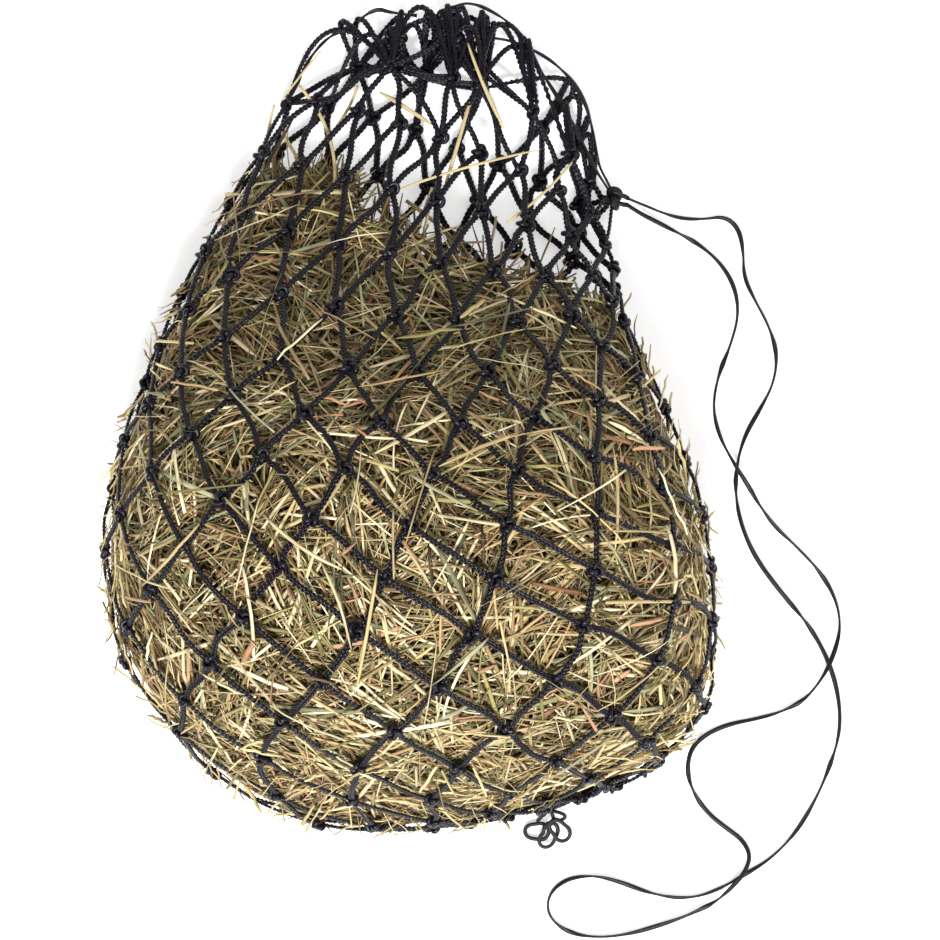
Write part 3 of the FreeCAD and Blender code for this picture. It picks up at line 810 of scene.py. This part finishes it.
def combed(at):
    """The direction that the hay mostly lies in at each place, which wanders from clump to clump."""
    x, y, z = (at[:, k:k + 1] / MM for k in range(3))
    return (1.6 * np.sin(x / 31 + 0.7 * np.sin(y / 23)) + 1.5 * np.sin(y / 37 - x / 61 + 1)
            + 0.9 * np.sin(z / 29 + y / 17) + 0.4)


TOP_WEIGHT = PATCH_WEIGHT * (NORMAL[:-1].reshape(-1, 3)[:, 2] > 0.55)
TOP_WEIGHT /= TOP_WEIGHT.sum()


def stem_points(count, length, height, tilt, m=7, curl=0.2, weight=PATCH_WEIGHT):
    """Paths of stems laid on the bag: (count, m, 3), with each one's surface normal."""
    cell = RNG.choice(len(weight), count, p=weight)
    r, k = np.divmod(cell, AROUND)
    f, g = RNG.random((2, count, 1))
    at = GRID[r, k] * (1 - f) * (1 - g) + GRID[r + 1, k] * f * (1 - g) \
        + GRID[r, (k + 1) % AROUND] * (1 - f) * g + GRID[r + 1, (k + 1) % AROUND] * f * g
    normal = NORMAL[r, k]
    lay = combed(at) + RNG.normal(0, 0.62, (count, 1))
    level_x = unit(np.cross(normal, np.array([0.05, 1.0, 0.1])))
    along = level_x * np.cos(lay) + np.cross(normal, level_x) * np.sin(lay)
    across = np.cross(normal, along)
    span = RNG.uniform(*length, (count, 1))
    s = np.linspace(-0.5, 0.5, m)[None] * span
    bend = RNG.normal(0, curl, (count, 1)) / 0.1
    paths = at[:, None] + along[:, None] * s[..., None] + across[:, None] * (bend * s**2)[..., None]
    surface, n = nearest(paths)
    level = RNG.uniform(*height, (count, 1)) + RNG.normal(0, tilt, (count, 1)) * s / 0.05
    kink = RNG.normal(0, 0.5 * MM, (count, m))
    now = ((paths - surface) * n).sum(-1)
    paths = paths + n * (level + kink - now)[..., None]
    paths[..., 2] = np.maximum(paths[..., 2], 2.2 * MM)
    return paths, normal


def stems(paths, normal, width, thick, flat):
    n, m = paths.shape[:2]
    to_ends = np.abs(np.linspace(-1, 1, m))[None] ** 3
    taper = np.clip(1.15 - to_ends * RNG.uniform(0.1, 0.9, (n, 1)), 0.2, 1)
    w = (width[0] + (width[1] - width[0]) * RNG.random((n, 1)) ** 1.7) / 2 * taper
    t = w * RNG.uniform(*thick, (n, 1))
    twist = RNG.normal(0, 0.5, (n, 1)) + RNG.normal(0, 1.2, (n, 1)) * np.linspace(0, 1, m)[None]
    return sweep(paths, w, t, flat, normal, twist=twist)


HAY_TONES = {
    # share of the stems, dark and light (as displayed; the dark end is also the painted shade of the
    # deeper stems), widths in mm, thickness as a share of the width
    "pale_straw": (0.22, (150, 128, 84), (250, 236, 194), (0.8, 3.1), (0.25, 0.8)),
    "straw": (0.26, (106, 86, 50), (216, 194, 138), (0.8, 3.0), (0.2, 0.7)),
    "tan": (0.17, (84, 63, 40), (192, 158, 112), (0.7, 2.8), (0.2, 0.7)),
    "olive": (0.17, (60, 54, 28), (158, 147, 90), (0.9, 3.7), (0.12, 0.3)),
    "grey_green": (0.11, (78, 78, 54), (184, 182, 142), (0.9, 3.7), (0.12, 0.3)),
    "russet": (0.07, (104, 66, 42), (206, 158, 118), (1.2, 4.0), (0.10, 0.3)),
}
STEM_COUNT = 21000


def loose_hay():
    for name, (share, dark, light, width, thick) in HAY_TONES.items():
        material = hay_material(f"hay_{name}", dark, light)
        count = int(STEM_COUNT * share)
        layers = [                           # number, length, height over the net, tilt, in mm
            (int(count * 0.32), (14, 60), (-17, -10), 1.2),
            (int(count * 0.16), (14, 60), (-15, -9), 1.2),
            (int(count * 0.30), (18, 80), (-13, -6), 1.3),
            (int(count * 0.20), (20, 76), (-8.5, -4.4), 0.8),
            (int(count * 0.002), (30, 76), (-1, 3), 1.2),
            (int(count * 0.004), (20, 70), (3, 5), 0.8),
        ]
        chunks, tones = [], []
        for number, length, height, tilt in layers:
            length = np.array(length) * (0.45 if name == "russet" else 1.0)
            over = height[1] > 0             # the few that lie over the net
            paths, normal = stem_points(number, length * MM, np.array(height) * MM, tilt * MM,
                                        weight=TOP_WEIGHT if over else PATCH_WEIGHT)
            bare = over_bundle(paths, 1 * MM).any(axis=1)
            paths, normal, number = paths[~bare], normal[~bare], int((~bare).sum())
            built = stems(paths, normal, np.array(width) * MM, thick, 5)
            chunks.append(built)
            # painted shade: the deeper a layer lies under the net, the darker its stems' tone
            painted_depth_shade = 0.16 if height[1] < -9 else 0.32 if height[1] < -5 else 0.55
            tone = np.clip(RNG.normal(painted_depth_shade, 0.2, number), 0, 1)
            tones.append(np.repeat(tone, len(built[0]) // number))
        for letter, start in zip("abc", range(0, len(chunks), 2)):
            obj = piece(f"hay_{name}_{letter}", joined(chunks[start:start + 2]), material,
                        shade=np.concatenate(tones[start:start + 2]))
            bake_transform(obj)


loose_hay()


EDGE_WEIGHT = PATCH_WEIGHT * (np.abs(NORMAL[:-1].reshape(-1, 3)[:, 2]) < 0.6) \
    * (GRID[:-1].reshape(-1, 3)[:, 2] > 0.02)
EDGE_WEIGHT /= EDGE_WEIGHT.sum()


def edge_hay():
    """Short stems whose ends stick out between the meshes along the bag's sides."""
    count = 520
    paths, normal = stem_points(count, (12 * MM, 34 * MM), (-3 * MM, 0), 0, weight=EDGE_WEIGHT)
    along = np.linspace(0, 1, paths.shape[1])[None, :, None]
    out = along ** 1.4 * RNG.uniform(1, 11, (count, 1, 1)) * MM
    level = normal * [1, 1, 0.25]
    paths = paths + level[:, None] * out
    paths = paths[~over_bundle(paths, 1 * MM).any(axis=1)]
    normal = unit(RNG.normal(0, 1, (len(paths), 3)))
    built = stems(paths, normal, np.array([0.8, 2.4]) * MM, (0.2, 0.7), 5)
    tone = np.repeat(RNG.uniform(0.2, 0.9, len(paths)), len(built[0]) // len(paths))
    material = hay_material("hay_at_sides", (112, 92, 54), (222, 202, 146))
    obj = piece("hay_at_sides", built, material, shade=tone)
    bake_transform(obj)


edge_hay()


# Long straws that lie by themselves in the neck, as points in millimetres
NECK_STRAWS = [
    [(-58, 241, 14), (-70, 226, 15), (-84, 208, 16)],
    [(-88, 206, 15), (-93, 182, 16), (-95, 156, 20)],
    [(-72, 218, 22), (-52, 184, 29), (-49, 146, 38)],
    [(37, 245, 21), (47, 218, 24), (60, 190, 26)],
    [(-16, 145, 48), (32, 162, 42), (84, 176, 28)],
    [(-98, 135, 44), (-43, 130, 62), (-4, 95, 84)],
    [(-60, 176, 26), (-44, 196, 22), (-34, 218, 20)],
    [(22, 150, 42), (32, 184, 32), (40, 214, 22)],
    [(-84, 190, 14), (-68, 164, 22), (-52, 142, 36)],
    [(62, 128, 44), (84, 146, 36), (104, 168, 24)],
    [(-20, 214, 18), (-4, 204, 22), (14, 192, 26)],
]


def neck_hay():
    """Straws that run up into the neck, and the tuft of loose hay at its left."""
    straw = hay_material("hay_neck_straw", (150, 128, 84), (232, 214, 164))
    paths = through(NECK_STRAWS, 15)
    up = np.array([[0, 0, 1.0]] * len(paths))
    built = stems(paths, up, np.array([1.7, 2.9]) * MM, (0.4, 0.9), 6)
    obj = piece("hay_neck_straws", built, straw, shade=np.full(len(built[0]), 0.6))
    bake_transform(obj)

    lo, hi = (np.array(c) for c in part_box("hay_tuft_in_neck"))
    mid, half = (lo + hi) / 2, (hi - lo) / 2
    count = 420
    place = unit(RNG.normal(0, 1, (count, 3))) * RNG.random((count, 1)) ** 0.4
    at = mid + place * half * [1.05, 1.1, 0.9] - [0, 0.006, 0]
    along = unit(RNG.normal(0, 1, (count, 3)) * [1, 1, 0.18])
    across = unit(np.cross(along, [0, 0, 1.0]))
    s = np.linspace(-0.5, 0.5, 7)[None] * RNG.uniform(12, 40, (count, 1)) * MM
    paths = at[:, None] + along[:, None] * s[..., None] \
        + across[:, None] * (RNG.normal(0, 4, (count, 1)) * s**2)[..., None]
    paths[..., 2] = np.maximum(paths[..., 2], 2.4 * MM)
    built = stems(paths, across, np.array([1.0, 2.8]) * MM, (0.2, 0.7), 5)
    tone = np.repeat(RNG.uniform(0.1, 0.8, count), len(built[0]) // count)
    material = hay_material("hay_tuft", (88, 74, 44), (204, 184, 132))
    obj = piece("hay_tuft", built, material, shade=tone)
    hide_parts("hay_tuft_in_neck")
    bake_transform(obj)


neck_hay()


# ---------------------------------------------------------------- studio
def studio():
    bpy.ops.mesh.primitive_plane_add(size=8, location=(0, 0, -0.0005))
    floor = bpy.context.object
    floor.name = "floor"
    material, _, _, shader = new_material("pale_floor", 0.9)
    shader.inputs["Base Color"].default_value = (0.93, 0.93, 0.93, 1)
    shader.inputs["Specular IOR Level"].default_value = 0.1
    shader.inputs["Emission Color"].default_value = (1, 1, 1, 1)
    shader.inputs["Emission Strength"].default_value = 0.5
    floor.data.materials.append(material)

    world = bpy.data.worlds.new("studio")
    world.use_nodes = True
    world.node_tree.nodes["Background"].inputs[0].default_value = (1, 1, 1, 1)
    world.node_tree.nodes["Background"].inputs[1].default_value = 0.5
    bpy.context.scene.world = world

    for name, place, size, power in (("key", (-0.1, -1.25, 1.9), 0.5, 70),
                                     ("fill", (1.4, 0.5, 1.6), 1.6, 10)):
        light = bpy.data.lights.new(name, "AREA")
        light.size = size
        light.energy = power
        lamp = bpy.data.objects.new(name, light)
        lamp.location = place
        aim = Vector((0, 0, 0.1)) - Vector(place)
        lamp.rotation_euler = aim.to_track_quat("-Z", "Y").to_euler()
        bpy.context.scene.collection.objects.link(lamp)

    camera = bpy.data.cameras.new("camera")
    camera.lens = 129.6                      # straight above, 2.2 m up, as the net fills the view
    camera.sensor_width = 36
    camera.clip_end = 20
    holder = bpy.data.objects.new("camera", camera)
    holder.location = (0.03835, -0.0298, 2.2)
    bpy.context.scene.collection.objects.link(holder)
    bpy.context.scene.camera = holder
    bpy.context.scene.view_settings.view_transform = "Standard"


studio()
